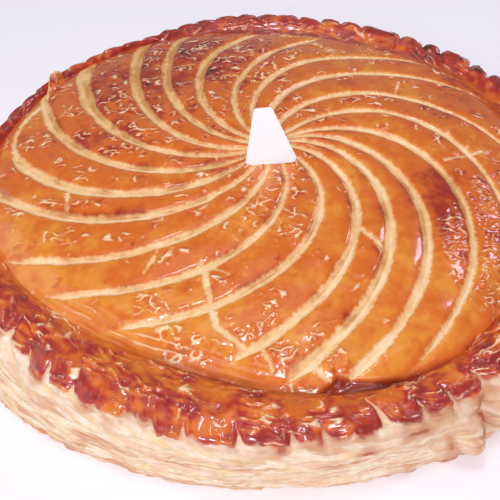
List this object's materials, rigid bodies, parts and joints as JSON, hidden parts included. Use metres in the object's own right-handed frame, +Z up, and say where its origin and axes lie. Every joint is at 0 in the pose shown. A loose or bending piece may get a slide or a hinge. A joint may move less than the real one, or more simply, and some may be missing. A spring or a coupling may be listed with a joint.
{
  "type": "galette des rois",
  "caption": "Round puff pastry cake with a glazed dome scored in curved cuts, a pinched rim, pale layered sides and a small blank tag stood in the middle.",
  "frame": {"origin": "middle of the flat underside, below the middle of the pastry's box", "axes": "+Z up through the dome, -Y towards the side that the picture shows in front, +X to its right"},
  "size_m": [0.2816, 0.2826, 0.0646],
  "materials": {
    "pastry": "egg-glazed puff pastry, amber brown and glossy on top, pale cream cuts, matt cream layers at the side",
    "tag": "plain white card or plastic, soft satin"
  },
  "bodies": {
    "root": {"galette": "pastry", "white_tag": "tag"}
  },
  "joints": []
}
